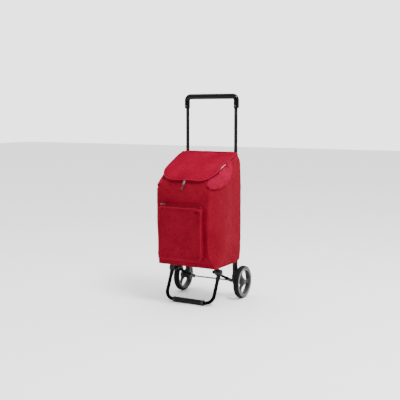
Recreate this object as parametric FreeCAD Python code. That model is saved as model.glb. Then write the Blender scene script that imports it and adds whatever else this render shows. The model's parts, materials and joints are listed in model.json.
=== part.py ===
import FreeCAD, Part
import math
import os
from FreeCAD import Vector as V

# Two-wheel shopping trolley, millimetres. +Z is up, +Y points to the back (handle side), and
# the origin is on the floor below the middle of the object's bounding box.

# ---- driving dimensions: overall, wheels, axle ----
overall_depth = 368.0
wheel_radius = 75.0
axle_y = overall_depth / 2 - wheel_radius
axle_z = wheel_radius
axle_radius = 4.0
axle_half_length = 168.0
wheel_inner_x = 147.0
wheel_outer_x = 172.0
hub_bore_radius = axle_radius + 0.06
hub_boss_radius = 13.0
hub_inner_x = 140.4
nut_seat_x = 165.0
hub_outer_x = 169.5
cap_outer_x = 173.0
cap_spigot_radius = 9.5
rim_outer_radius = 63.0
rim_inner_radius = 54.0
spoke_count = 3
spoke_phase = -6.0

# ---- rear frame ----
upright_x = 127.0
upright_y = axle_y - 12.0
upright_radius = 8.0
tube_wall = 1.2
upright_low_z = 96.0
upright_top_z = 893.0
crossbar_radius = 6.0
crossbar_heights = {"crossbar_lower": 232.0, "crossbar_upper": 610.0}
bracket_half_width = 11.0
bracket_sleeve_radius = 12.0
bracket_top_z = 184.0

# ---- grip ----
grip_x = 129.0
grip_radius = 12.7
grip_arm_bottom_z = 874.0
grip_axis_z = 928.0
grip_bend = 18.0

# ---- folding platform ----
platform_pivot_y = 52.0
platform_z = 177.0
rail_x = 111.0
rail_radius = 5.0
platform_front_y = -120.0
pin_radius = 3.0
bore_clearance = 0.05
board_thickness = 3.0
board_half_width = 140.0
board_front_y = -127.0
board_back_y = 40.0

# ---- front leg and struts, both turning on one bolt a side ----
leg_pivot_y = -48.0
leg_pivot_z = 143.0
leg_x = 122.0
leg_radius = 8.0
leg_foot_y = -110.0
foot_radius = 12.5
leg_bend = 38.0
sleeve_radius = 11.5
sleeve_half_length = 70.0
foot_pad_length = 8.0
knuckle_radius = 15.0
web_x = 109.0
web_thickness = 5.0
strut_x = 100.0
strut_radius = 6.0
hook_radius = 8.5
hook_seat_radius = axle_radius + 0.4
hook_mouth_turn = 23.0

# ---- bag ----
bag_wall = 3.0
bag_back_y = 87.5
bag_floor_z = 185.5
# each section: height, half width, front face y, corner radius
bag_sections = [
    (176.0, 150.0, -133.0, 16.0),
    (206.0, 160.0, -136.0, 26.0),
    (330.0, 159.5, -144.0, 42.0),
    (480.0, 158.0, -154.0, 50.0),
    (560.0, 156.0, -140.0, 50.0),
    (700.0, 140.0, -120.0, 46.0),
]
bag_back_corner = 12.0
flap_hinge_y = 84.5
flap_hinge_z = 673.5
flap_front_y = -143.0
flap_front_z = 563.0
flap_crown = 9.0
flap_thickness = 3.0
flap_half_width = 153.0
flap_back_half_width = 143.0
flap_corner = 58.0
flap_gap = 0.8
flap_overrun = 12.0

# ---- pocket, zip and closure hook ----
pocket_half_width = 109.0
pocket_front_y = -overall_depth / 2
pocket_low_z = 211.0
pocket_top_front_z = 440.0
pocket_top_back_z = 457.0
pocket_top_back_y = -150.0
pocket_wall = 2.5
zip_half_length = 98.0
zip_tape_thickness = 1.2
slider_x = -88.0
closure_x = 8.0
closure_y = -155.5
closure_z = 559.0
closure_tilt = 24.0

os.makedirs("parts", exist_ok=True)
X_AXIS = V(1, 0, 0)
Y_AXIS = V(0, 1, 0)
Z_AXIS = V(0, 0, 1)


def save(name, shape):
    shape.exportStep("parts/" + name + ".step")


def rod(start, end, radius):
    run = end - start
    return Part.makeCylinder(radius, run.Length, start, run)


def ring(start, end, radius, bore):
    return rod(start, end, radius).cut(rod(start, end, bore))


def block(x0, x1, y0, y1, z0, z1):
    low = V(min(x0, x1), min(y0, y1), min(z0, z1))
    return Part.makeBox(abs(x1 - x0), abs(y1 - y0), abs(z1 - z0), low)


def group(solids):
    return Part.makeCompound(solids)


def rounded_path(points, bend):
    """One wire of straight runs joined by tangent arcs of radius bend."""
    edges = []
    start = points[0]
    for before, corner, after in zip(points, points[1:], points[2:]):
        back = (before - corner).normalize()
        on = (after - corner).normalize()
        half = back.getAngle(on) / 2
        leave = corner + back * (bend / math.tan(half))
        join = corner + on * (bend / math.tan(half))
        middle = (back + on).normalize()
        centre = corner + middle * (bend / math.sin(half))
        edges.append(Part.LineSegment(start, leave).toShape())
        edges.append(Part.Arc(leave, centre - middle * bend, join).toShape())
        start = join
    edges.append(Part.LineSegment(start, points[-1]).toShape())
    return Part.Wire(edges)


def sweep(points, bend, radius):
    path = rounded_path(points, bend)
    circle = Part.Wire([Part.makeCircle(radius, points[0], points[1] - points[0])])
    return path.makePipeShell([circle], True, False)


def bent_tube(points, bend, radius, wall=tube_wall):
    return sweep(points, bend, radius).cut(sweep(points, bend, radius - wall))


def revolve_about_x(profile):
    """Turn a closed outline of (x, radius) points about the axle line."""
    corners = [V(x, axle_y, axle_z + r) for x, r in profile]
    face = Part.Face(Part.makePolygon(corners + corners[:1]))
    return face.revolve(V(0, axle_y, axle_z), X_AXIS, 360)


def extrude_yz(outline, x0, x1):
    corners = [V(x0, y, z) for y, z in outline]
    face = Part.Face(Part.makePolygon(corners + corners[:1]))
    return face.extrude(V(x1 - x0, 0, 0))


# ---------------------------------------------------------------- rear frame
def make_uprights():
    for name, side in (("upright_left", -1), ("upright_right", 1)):
        foot = V(side * upright_x, upright_y, upright_low_z)
        head = V(side * upright_x, upright_y, upright_top_z)
        save(name, ring(foot, head, upright_radius, upright_radius - tube_wall))


def make_crossbars():
    for name, height in crossbar_heights.items():
        left = V(-upright_x, upright_y, height)
        right = V(upright_x, upright_y, height)
        bar = ring(left, right, crossbar_radius, crossbar_radius - tube_wall)
        for side in (-1, 1):
            seat = V(side * upright_x, upright_y, height - 20)
            bar = bar.cut(rod(seat, seat + Z_AXIS * 40, upright_radius))
        save(name, bar)


def make_grip():
    arms_foot = grip_arm_bottom_z
    points = [
        V(-grip_x, upright_y, arms_foot),
        V(-grip_x, upright_y, grip_axis_z),
        V(grip_x, upright_y, grip_axis_z),
        V(grip_x, upright_y, arms_foot),
    ]
    grip = sweep(points, grip_bend, grip_radius)
    screws = []
    for side in (-1, 1):
        socket = V(side * upright_x, upright_y, arms_foot - 1)
        socket_top = V(side * upright_x, upright_y, upright_top_z)
        grip = grip.cut(rod(socket, socket_top, upright_radius))
        face_y = upright_y - grip_radius
        seat = V(side * grip_x, face_y + 2.2, arms_foot + 11)
        shank = rod(seat, seat + Y_AXIS * 2.0, 2.0)
        head = rod(seat - Y_AXIS * 3.4, seat, 3.6)
        grip = grip.cut(shank).cut(head)
        screws.append(shank.fuse(head).removeSplitter())
    save("handle_grip", grip)
    save("grip_screws", group(screws))


def make_axle_brackets():
    """Moulded feet of the uprights: a sleeve, an axle boss and a lug for the platform's pin."""
    screws = []
    for name, side in (("axle_bracket_left", -1), ("axle_bracket_right", 1)):
        x_mid = side * upright_x
        sleeve_foot = V(x_mid, upright_y, axle_z + 5)
        sleeve_head = V(x_mid, upright_y, bracket_top_z)
        body = rod(sleeve_foot, sleeve_head, bracket_sleeve_radius)
        inner = x_mid - bracket_half_width
        outer = x_mid + bracket_half_width
        boss = rod(V(inner, axle_y, axle_z), V(outer, axle_y, axle_z), 17.0)
        web = block(inner, outer, upright_y - 11, axle_y + 8, axle_z, axle_z + 34)
        lug_in = side * (rail_x + rail_radius + 1.0)
        lug_out = lug_in + side * 8.0
        lug_end = rod(
            V(lug_in, platform_pivot_y, platform_z - 1),
            V(lug_out, platform_pivot_y, platform_z - 1),
            8.0,
        )
        lug = block(lug_in, lug_out, platform_pivot_y, upright_y, platform_z - 9, platform_z + 7)
        body = body.fuse([boss, web, lug_end, lug])
        body = body.cut(rod(V(x_mid, upright_y, upright_low_z), sleeve_head, upright_radius))
        bore_start = V(x_mid - 20, axle_y, axle_z)
        body = body.cut(rod(bore_start, V(x_mid + 20, axle_y, axle_z), axle_radius))
        pin_start = V(lug_in, platform_pivot_y, platform_z)
        body = body.cut(rod(pin_start, V(lug_out, platform_pivot_y, platform_z), pin_radius))
        seat = V(x_mid, upright_y - bracket_sleeve_radius + 1.6, 128)
        head = rod(seat - Y_AXIS * 3.2, seat, 3.6)
        shank = rod(seat, V(x_mid, upright_y - upright_radius, 128), 2.0)
        body = body.cut(head).cut(shank)
        screws.append(shank.fuse(head).removeSplitter())
        save(name, body.removeSplitter())
    save("bracket_screws", group(screws))


def make_axle():
    left = V(-axle_half_length, axle_y, axle_z)
    right = V(axle_half_length, axle_y, axle_z)
    save("axle_rod", rod(left, right, axle_radius))
    washers = []
    nuts = []
    for side in (-1, 1):
        bracket_face = side * (upright_x + bracket_half_width)
        start = V(bracket_face, axle_y, axle_z)
        washers.append(ring(start, start + X_AXIS * side * 1.6, 9.0, axle_radius))
        start = V(side * (nut_seat_x + 0.5), axle_y, axle_z)
        nuts.append(ring(start, start + X_AXIS * side * 1.4, 7.5, axle_radius))
    save("axle_washers", group(washers))
    save("axle_push_nuts", group(nuts))


# ---------------------------------------------------------------- wheels
def spoke(side, angle):
    """One tapered arm from the boss to the rim."""
    half_root = 8.5
    half_tip = 10.5
    inner = side * 152.0
    outer = side * 167.0
    root = hub_boss_radius - 4
    tip = rim_inner_radius + 2
    outline = [
        (axle_y - half_root, axle_z + root),
        (axle_y + half_root, axle_z + root),
        (axle_y + half_tip, axle_z + tip),
        (axle_y - half_tip, axle_z + tip),
    ]
    arm = extrude_yz(outline, inner, outer)
    arm.rotate(V(0, axle_y, axle_z), X_AXIS, angle - 90)
    return arm


def make_wheel(label, side):
    tread = wheel_radius
    tyre_outline = [
        (side * wheel_inner_x, rim_outer_radius),
        (side * wheel_outer_x, rim_outer_radius),
        (side * wheel_outer_x, tread - 6.0),
        (side * (wheel_outer_x - 1.2), tread - 3.2),
        (side * (wheel_outer_x - 4.2), tread - 0.8),
        (side * (wheel_outer_x - 8.0), tread),
        (side * (wheel_inner_x + 8.0), tread),
        (side * (wheel_inner_x + 4.2), tread - 0.8),
        (side * (wheel_inner_x + 1.2), tread - 3.2),
        (side * wheel_inner_x, tread - 6.0),
    ]
    save("tyre_" + label, revolve_about_x(tyre_outline))
    rim_outline = [
        (side * (wheel_inner_x + 0.5), rim_outer_radius),
        (side * (wheel_inner_x + 0.5), rim_inner_radius + 3),
        (side * (wheel_inner_x + 8), rim_inner_radius),
        (side * (wheel_outer_x - 8), rim_inner_radius),
        (side * (wheel_outer_x - 0.5), rim_inner_radius + 3),
        (side * (wheel_outer_x - 0.5), rim_outer_radius),
    ]
    start = V(side * hub_inner_x, axle_y, axle_z)
    end = V(side * hub_outer_x, axle_y, axle_z)
    seat = V(side * nut_seat_x, axle_y, axle_z)
    arms = [spoke(side, spoke_phase + i * 360 / spoke_count) for i in range(spoke_count)]
    hub = rod(start, end, hub_boss_radius).fuse([revolve_about_x(rim_outline)] + arms)
    hub = hub.cut(rod(start, end, hub_bore_radius)).cut(rod(seat, end, cap_spigot_radius))
    save("hub_" + label, hub.removeSplitter())
    cap_outline = [
        (side * (hub_outer_x - 1.0), cap_spigot_radius),
        (side * (hub_outer_x - 1.0), 0.0),
        (side * cap_outer_x, 0.0),
        (side * cap_outer_x, 6.0),
        (side * (cap_outer_x - 0.9), 9.4),
        (side * (cap_outer_x - 2.4), 11.6),
        (side * hub_outer_x, 12.4),
        (side * hub_outer_x, cap_spigot_radius),
    ]
    save("hub_cap_" + label, revolve_about_x(cap_outline))


# ---------------------------------------------------------------- platform
def make_platform():
    points = [
        V(-rail_x, platform_pivot_y, platform_z),
        V(-rail_x, platform_front_y, platform_z),
        V(rail_x, platform_front_y, platform_z),
        V(rail_x, platform_pivot_y, platform_z),
    ]
    frame = bent_tube(points, 24.0, rail_radius)
    pins = []
    for side in (-1, 1):
        boss_in = V(side * (rail_x - 6), platform_pivot_y, platform_z)
        boss_out = V(side * (rail_x + 5.6), platform_pivot_y, platform_z)
        boss = rod(boss_in, boss_out, 7.0)
        bore = rod(boss_in, boss_out, pin_radius + bore_clearance)
        frame = frame.fuse(boss).cut(bore)
        lug_out = V(side * (rail_x + rail_radius + 9.0), platform_pivot_y, platform_z)
        pin_end = boss_in - X_AXIS * side * 0.6
        pin = rod(pin_end, lug_out, pin_radius)
        head = rod(lug_out, lug_out + X_AXIS * side * 2.2, 5.5)
        clip = rod(pin_end - X_AXIS * side * 2.0, pin_end, 5.0)
        pins.append(pin.fuse([head, clip]).removeSplitter())
    save("platform_frame", frame.removeSplitter())
    save("platform_pins", group(pins))


def make_board():
    low = platform_z + rail_radius
    top = low + board_thickness
    board = block(-board_half_width, board_half_width, board_front_y, board_back_y, low, top)
    board = board.makeFillet(12.0, [e for e in board.Edges if abs(e.tangentAt(0).z) > 0.9])
    rivets = []
    for x in (-rail_x, rail_x):
        for y in (-70.0, 30.0):
            seat = V(x, y, top)
            rivet = rod(seat - Z_AXIS * board_thickness, seat, 2.0)
            board = board.cut(rivet)
            rivets.append(rivet.fuse(rod(seat, seat + Z_AXIS * 0.4, 3.5)).removeSplitter())
    save("base_board", board)
    save("board_rivets", group(rivets))


def make_leg_brackets():
    """Webs that hang from the platform's rails and carry the bolt of the leg and the strut."""
    bolts = []
    rail_start = V(0, -100, platform_z)
    for name, side in (("leg_bracket_left", -1), ("leg_bracket_right", 1)):
        web_in = side * (web_x - web_thickness / 2)
        web_out = side * (web_x + web_thickness / 2)
        outline = [
            (leg_pivot_y - 26, platform_z - 1),
            (leg_pivot_y + 26, platform_z - 1),
            (leg_pivot_y + 13.5, leg_pivot_z),
            (leg_pivot_y - 13.5, leg_pivot_z),
        ]
        web = extrude_yz(outline, web_in, web_out)
        foot = rod(V(web_in, leg_pivot_y, leg_pivot_z), V(web_out, leg_pivot_y, leg_pivot_z), 13.5)
        saddle = block(
            side * (rail_x - 8), side * (rail_x + 8),
            leg_pivot_y - 28, leg_pivot_y + 28, platform_z - 9, platform_z,
        )
        bracket = web.fuse([foot, saddle])
        shift = X_AXIS * side * rail_x
        bracket = bracket.cut(rod(rail_start + shift, rail_start + shift + Y_AXIS * 130, rail_radius))
        bolt_in = V(side * (strut_x - 8.5), leg_pivot_y, leg_pivot_z)
        bolt_out = V(side * 132.6, leg_pivot_y, leg_pivot_z)
        shank = rod(bolt_in, bolt_out, pin_radius)
        bracket = bracket.cut(shank)
        dome = rod(bolt_out, bolt_out + X_AXIS * side * 3.4, 8.0)
        nut = rod(bolt_in - X_AXIS * side * 3.0, bolt_in, 5.5)
        bolts.append(shank.fuse([dome, nut]).removeSplitter())
        save(name, bracket.removeSplitter())
    save("pivot_bolts", group(bolts))


# ---------------------------------------------------------------- leg
def make_leg():
    pivot = V(0, leg_pivot_y, leg_pivot_z)
    foot = V(0, leg_foot_y, foot_radius)
    along = (foot - pivot).normalize()
    side_shift = X_AXIS * leg_x
    points = [
        pivot - side_shift + along * 12,
        foot - side_shift,
        foot + side_shift,
        pivot + side_shift + along * 12,
    ]
    save("leg_tube", bent_tube(points, leg_bend, leg_radius))
    for name, side in (("leg_knuckle_left", -1), ("leg_knuckle_right", 1)):
        inner = V(side * 113.2, leg_pivot_y, leg_pivot_z)
        outer = V(side * 132.2, leg_pivot_y, leg_pivot_z)
        centre = pivot + side_shift * side
        knuckle = rod(inner, outer, knuckle_radius)
        knuckle = knuckle.fuse(rod(centre, centre + along * 34, leg_radius + 1.8))
        knuckle = knuckle.cut(rod(centre + along * 12, centre + along * 40, leg_radius))
        bore_start = V(side * (leg_x - 14), leg_pivot_y, leg_pivot_z)
        knuckle = knuckle.cut(rod(bore_start, outer, pin_radius + bore_clearance))
        save(name, knuckle.removeSplitter())
    sleeve_left = foot - X_AXIS * sleeve_half_length
    sleeve_right = foot + X_AXIS * sleeve_half_length
    save("foot_sleeve", ring(sleeve_left, sleeve_right, sleeve_radius, leg_radius))
    for name, side in (("foot_pad_left", -1), ("foot_pad_right", 1)):
        start = foot + X_AXIS * side * sleeve_half_length
        end = start + X_AXIS * side * foot_pad_length
        pad = rod(start, end, foot_radius)
        pad = pad.fuse(block(start.x, end.x, leg_foot_y - 8, leg_foot_y + 8, 0, foot_radius - 4))
        save(name, pad.cut(rod(start, end, leg_radius)).removeSplitter())


# ---------------------------------------------------------------- struts
def make_struts():
    """Stays from the leg's bolt to the axle; their open hooks seat on the axle rod."""
    for label, side in (("left", -1), ("right", 1)):
        pivot = V(side * strut_x, leg_pivot_y, leg_pivot_z)
        seat = V(side * strut_x, axle_y, axle_z)
        along = (seat - pivot).normalize()
        length = (seat - pivot).Length
        half_width = X_AXIS * 6
        knuckle = rod(pivot - half_width, pivot + half_width, 8.5)
        tube = rod(pivot, pivot + along * (length - 22), strut_radius)
        bore = rod(pivot + along * 14, pivot + along * (length - 22), strut_radius - tube_wall)
        eye = rod(pivot - half_width, pivot + half_width, pin_radius + bore_clearance)
        save("strut_" + label, tube.cut(bore).fuse(knuckle).cut(eye).removeSplitter())
        hook = rod(pivot + along * (length - 46), seat + along * 9, hook_radius)
        hook = hook.cut(rod(pivot + along * (length - 50), pivot + along * (length - 22), strut_radius))
        hook = hook.cut(rod(seat - X_AXIS * 12, seat + X_AXIS * 12, hook_seat_radius))
        mouth = block(seat.x - 12, seat.x + 12, axle_y, axle_y + 30, axle_z - 15, axle_z + 15)
        turn = math.degrees(math.atan2(along.z, along.y)) + hook_mouth_turn
        mouth.rotate(seat, X_AXIS, turn)
        save("strut_hook_" + label, hook.cut(mouth).removeSplitter())


# ---------------------------------------------------------------- bag
def bag_wire(section, inset):
    """Rounded rectangle at one height, drawn in by inset."""
    height, half_width, front, corner = section
    half = half_width - inset
    low = front + inset
    high = bag_back_y - inset
    r_front = corner - inset
    r_back = bag_back_corner - inset
    k = 1 - math.sqrt(0.5)

    def arc(start, middle, end):
        return Part.Arc(*[V(x, y, height) for x, y in (start, middle, end)]).toShape()

    def line(start, end):
        return Part.LineSegment(V(*start, height), V(*end, height)).toShape()

    return Part.Wire([
        line((-half + r_front, low), (half - r_front, low)),
        arc((half - r_front, low), (half - k * r_front, low + k * r_front), (half, low + r_front)),
        line((half, low + r_front), (half, high - r_back)),
        arc((half, high - r_back), (half - k * r_back, high - k * r_back), (half - r_back, high)),
        line((half - r_back, high), (-half + r_back, high)),
        arc((-half + r_back, high), (-half + k * r_back, high - k * r_back), (-half, high - r_back)),
        line((-half, high - r_back), (-half, low + r_front)),
        arc((-half, low + r_front), (-half + k * r_front, low + k * r_front), (-half + r_front, low)),
    ])


def bag_loft(inset):
    wires = [bag_wire(section, inset) for section in bag_sections]
    return Part.makeLoft(wires, True, True)


def flap_curve(offset):
    """Side view of the flap, from behind its back edge to before its front edge, moved down."""
    fall = (flap_hinge_z + flap_thickness - flap_front_z) / (flap_hinge_y - flap_front_y)
    back_z = flap_hinge_z + flap_thickness - offset
    back = V(0, flap_hinge_y + flap_overrun, back_z + fall * flap_overrun)
    front = V(0, flap_front_y - flap_overrun, flap_front_z - offset - fall * flap_overrun)
    normal = V(0, -(back.z - front.z), back.y - front.y).normalize()
    middle = (back + front) * 0.5 + normal * flap_crown
    return back, middle, front


def flap_slab(top_offset, low_offset, reach):
    """Solid between two offsets of the flap's curve, over the whole width."""
    upper = flap_curve(top_offset)
    lower = flap_curve(low_offset)
    wire = Part.Wire([
        Part.Arc(*upper).toShape(),
        Part.LineSegment(upper[2], lower[2]).toShape(),
        Part.Arc(*reversed(lower)).toShape(),
        Part.LineSegment(lower[0], upper[0]).toShape(),
    ])
    slab = Part.Face(wire).extrude(V(2 * reach, 0, 0))
    slab.translate(V(-reach, 0, 0))
    return slab


def make_bag():
    far = 400.0
    outer = bag_loft(0.0)
    inner = bag_loft(bag_wall)
    goods = inner.common(block(-far, far, -far, far, bag_floor_z + bag_wall, 900))
    skirt = inner.common(block(-far, far, -far, far, 100, bag_floor_z))
    back_cut = block(-far, far, 50, far, 100, bag_floor_z)
    back, middle, front = flap_curve(flap_thickness + flap_gap)
    lower_front = front - Y_AXIS * 60 - Z_AXIS * 29
    above = Part.Wire([
        Part.Arc(back, middle, front).toShape(),
        Part.LineSegment(front, lower_front).toShape(),
        Part.LineSegment(lower_front, V(0, lower_front.y, 900)).toShape(),
        Part.LineSegment(V(0, lower_front.y, 900), V(0, 300, 900)).toShape(),
        Part.LineSegment(V(0, 300, 900), V(0, 300, back.z)).toShape(),
        Part.LineSegment(V(0, 300, back.z), back).toShape(),
    ])
    lid_space = Part.Face(above).extrude(V(2 * far, 0, 0))
    lid_space.translate(V(-far, 0, 0))
    seam_space = block(-far, far, flap_hinge_y - 8, far, flap_hinge_z - 1, 900)
    bag = outer.cut(goods).cut(skirt).cut(back_cut).cut(lid_space).cut(seam_space)
    save("bag_body", bag)
    return outer


def make_flap():
    slab = flap_slab(0.0, flap_thickness, 300)
    low = 500.0
    half = flap_half_width
    front = flap_front_y
    shoulder_y = flap_hinge_y - 75
    near = flap_corner * (1 - math.sqrt(0.5))
    right = [
        V(half - flap_corner, front, low),
        V(half - near, front + near, low),
        V(half, front + flap_corner, low),
        V(half, shoulder_y, low),
        V(flap_back_half_width, flap_hinge_y, low),
    ]
    left = [V(-p.x, p.y, p.z) for p in right]
    plan = Part.Wire([
        Part.LineSegment(left[0], right[0]).toShape(),
        Part.Arc(*right[:3]).toShape(),
        Part.LineSegment(right[2], right[3]).toShape(),
        Part.LineSegment(right[3], right[4]).toShape(),
        Part.LineSegment(right[4], left[4]).toShape(),
        Part.LineSegment(left[4], left[3]).toShape(),
        Part.LineSegment(left[3], left[2]).toShape(),
        Part.Arc(*reversed(left[:3])).toShape(),
    ])
    save("bag_flap", slab.common(Part.Face(plan).extrude(V(0, 0, 250))))


def make_back_loops():
    """Webbing sleeves sewn to the bag's back, each round an upright."""
    loops = []
    for height in (300.0, 520.0, 640.0):
        for side in (-1, 1):
            start = V(side * upright_x, upright_y, height)
            end = start + Z_AXIS * 26
            band = rod(start, end, upright_radius + 1.4)
            tab = block(start.x - 16, start.x + 16, bag_back_y, bag_back_y + 1.4, height, height + 26)
            loops.append(band.fuse(tab).cut(rod(start, end, upright_radius)).removeSplitter())
    trimmed = []
    back_space = block(-300, 300, bag_back_y, 300, 0, 900)
    for loop in loops:
        trimmed.append(loop.common(back_space))
    save("back_loops", group(trimmed))


# ---------------------------------------------------------------- pocket
def pocket_outline(inset):
    return [
        (-100.0, pocket_low_z + inset),
        (pocket_front_y + 8 + inset, pocket_low_z + inset),
        (pocket_front_y + inset, pocket_low_z + 14),
        (pocket_front_y + inset, pocket_top_front_z - inset),
        (pocket_top_back_y, pocket_top_back_z - inset),
        (-100.0, pocket_top_back_z - inset),
    ]


def zip_frame():
    """Middle of the pocket's sloping top, its direction to the back, and its normal."""
    front = V(0, pocket_front_y, pocket_top_front_z)
    back = V(0, pocket_top_back_y, pocket_top_back_z)
    along = (back - front).normalize()
    normal = V(0, -along.z, along.y)
    return (front + back) * 0.5 + along * 1.5, along, normal


def slope_box(x0, x1, half_across, low, high):
    """Box lying on the pocket's sloping top between two heights above it."""
    middle, along, normal = zip_frame()
    corners = []
    for across, height in ((-1, low), (1, low), (1, high), (-1, high)):
        corner = middle + along * across * half_across + normal * height
        corners.append((corner.y, corner.z))
    return extrude_yz(corners, x0, x1)


def round_front(pouch, radius):
    """Round the two upright edges at the pouch's front."""
    front_edges = [
        e for e in pouch.Edges
        if abs(e.tangentAt(0).z) > 0.99 and e.CenterOfMass.y < pocket_front_y + 4
    ]
    return pouch.makeFillet(radius, front_edges)


def make_pocket(bag_outer):
    outer = extrude_yz(pocket_outline(0.0), -pocket_half_width, pocket_half_width)
    outer = round_front(outer, 14.0)
    inner_half = pocket_half_width - pocket_wall
    inner = round_front(extrude_yz(pocket_outline(pocket_wall), -inner_half, inner_half), 11.5)
    mouth = slope_box(-zip_half_length + 6, zip_half_length - 6, 7.0, -8, 8)
    pocket = outer.cut(inner).cut(mouth).cut(bag_outer)
    save("front_pocket", pocket)
    tape = slope_box(-zip_half_length, zip_half_length, 11.0, 0.0, zip_tape_thickness)
    tape = tape.cut(slope_box(-zip_half_length + 8, zip_half_length - 8, 1.2, -2, 4))
    save("pocket_zip_tape", tape)
    slider_low = zip_tape_thickness + 0.3
    slider = slope_box(slider_x - 5, slider_x + 5, 4.5, slider_low, slider_low + 3.2)
    save("zip_slider", slider)
    pull = slope_box(slider_x - 24, slider_x - 7, 3.2, slider_low + 0.6, slider_low + 2.4)
    pull = pull.cut(slope_box(slider_x - 21, slider_x - 16, 1.4, 0, 8))
    save("zip_pull", pull)


# ---------------------------------------------------------------- closure hook
def make_closure():
    """Short strap at the flap's front edge with a metal snap hook."""
    pivot = V(closure_x, closure_y, closure_z)
    strap = block(-5.5, 5.5, -0.8, 0.8, -17, 0)
    hook = block(-5, 5, -1.5, 1.5, -44, -17)
    slot = block(-2.6, 2.6, -3, 3, -40, -31)
    hook = hook.cut(slot)
    for name, shape in (("closure_strap", strap), ("snap_hook", hook)):
        shape.rotate(V(0, 0, 0), Y_AXIS, closure_tilt)
        shape.translate(pivot)
        save(name, shape)


make_uprights()
make_crossbars()
make_grip()
make_axle_brackets()
make_axle()
make_wheel("left", -1)
make_wheel("right", 1)
make_platform()
make_board()
make_leg_brackets()
make_leg()
make_struts()
bag_outer_shape = make_bag()
make_flap()
make_back_loops()
make_pocket(bag_outer_shape)
make_closure()
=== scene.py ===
import json
import math

import bmesh
import bpy
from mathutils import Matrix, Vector, noise


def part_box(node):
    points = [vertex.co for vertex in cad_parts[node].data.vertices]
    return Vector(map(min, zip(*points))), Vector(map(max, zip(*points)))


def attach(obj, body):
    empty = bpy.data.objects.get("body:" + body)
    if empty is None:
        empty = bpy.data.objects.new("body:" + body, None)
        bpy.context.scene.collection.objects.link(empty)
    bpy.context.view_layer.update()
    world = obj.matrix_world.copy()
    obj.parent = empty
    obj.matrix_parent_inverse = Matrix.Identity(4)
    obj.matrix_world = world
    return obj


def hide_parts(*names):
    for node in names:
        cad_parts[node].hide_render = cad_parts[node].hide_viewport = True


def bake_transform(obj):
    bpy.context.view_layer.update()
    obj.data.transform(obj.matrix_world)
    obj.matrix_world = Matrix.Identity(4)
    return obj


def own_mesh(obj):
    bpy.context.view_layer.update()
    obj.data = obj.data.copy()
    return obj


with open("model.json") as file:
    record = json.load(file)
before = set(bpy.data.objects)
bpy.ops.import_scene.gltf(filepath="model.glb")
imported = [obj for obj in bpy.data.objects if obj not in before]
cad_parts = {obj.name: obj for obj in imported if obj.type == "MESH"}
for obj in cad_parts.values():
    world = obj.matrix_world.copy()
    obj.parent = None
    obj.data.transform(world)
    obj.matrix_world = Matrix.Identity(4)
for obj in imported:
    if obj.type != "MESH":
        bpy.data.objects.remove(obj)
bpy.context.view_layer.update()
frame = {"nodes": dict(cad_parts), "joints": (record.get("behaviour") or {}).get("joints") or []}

# Shopping trolley: the looks. Metres, row frame: -Y is the front, +Z is up.
NODES = frame["nodes"]

BAG_LOW, BAG_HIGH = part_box("bag_body")
FLAP_LOW, FLAP_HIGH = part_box("bag_flap")
POCKET_LOW, POCKET_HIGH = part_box("front_pocket")
ZIP_LOW, ZIP_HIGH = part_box("pocket_zip_tape")
BAG_FLOOR = BAG_LOW[2]
BAG_BACK = BAG_HIGH[1]


# ---- small helpers
def smooth(low, high, value):
    """0 below low, 1 above high, smooth between."""
    t = min(1.0, max(0.0, (value - low) / (high - low)))
    return t * t * (3 - 2 * t)


def bump(centre, width, value):
    """1 at centre, falling smoothly to 0 at width away."""
    return 1 - smooth(0.0, width, abs(value - centre))


def round_angles(count):
    """Equal angles once round a circle."""
    return [2 * math.pi * k / count for k in range(count)]


def turbulence(point, scale, seed):
    """Smooth random height at a point; scale is the size of its waves."""
    shifted = Vector(point) / scale + Vector((seed, -seed, 2 * seed))
    return noise.fractal(shifted, 1.0, 2.0, 3)


def link(name, data):
    obj = bpy.data.objects.new(name, data)
    bpy.context.scene.collection.objects.link(obj)
    return obj


def finish_mesh(name, bm, angle=40.0, flat=False):
    """Turn a bmesh into a smooth-shaded object."""
    bmesh.ops.recalc_face_normals(bm, faces=bm.faces)
    mesh = bpy.data.meshes.new(name)
    bm.to_mesh(mesh)
    bm.free()
    obj = link(name, mesh)
    for polygon in mesh.polygons:
        polygon.use_smooth = not flat
    if not flat:
        mesh.set_sharp_from_angle(angle=math.radians(angle))
    return obj


def thicken(obj, **settings):
    """Give a sheet its thickness, with a Solidify modifier that is applied."""
    mod = obj.modifiers.new("solidify", "SOLIDIFY")
    for key, value in settings.items():
        setattr(mod, key, value)
    depsgraph = bpy.context.evaluated_depsgraph_get()
    mesh = bpy.data.meshes.new_from_object(obj.evaluated_get(depsgraph))
    obj.modifiers.clear()
    obj.data = mesh


def grid(bm, rows, close_rows=False):
    """Quads through equal rows of points; close_rows joins each row's end to its start."""
    made = [[bm.verts.new(p) for p in row] for row in rows]
    for upper, lower in zip(made, made[1:]):
        count = len(upper)
        last = count if close_rows else count - 1
        for i in range(last):
            j = (i + 1) % count
            bm.faces.new((upper[i], upper[j], lower[j], lower[i]))
    return made


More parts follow.
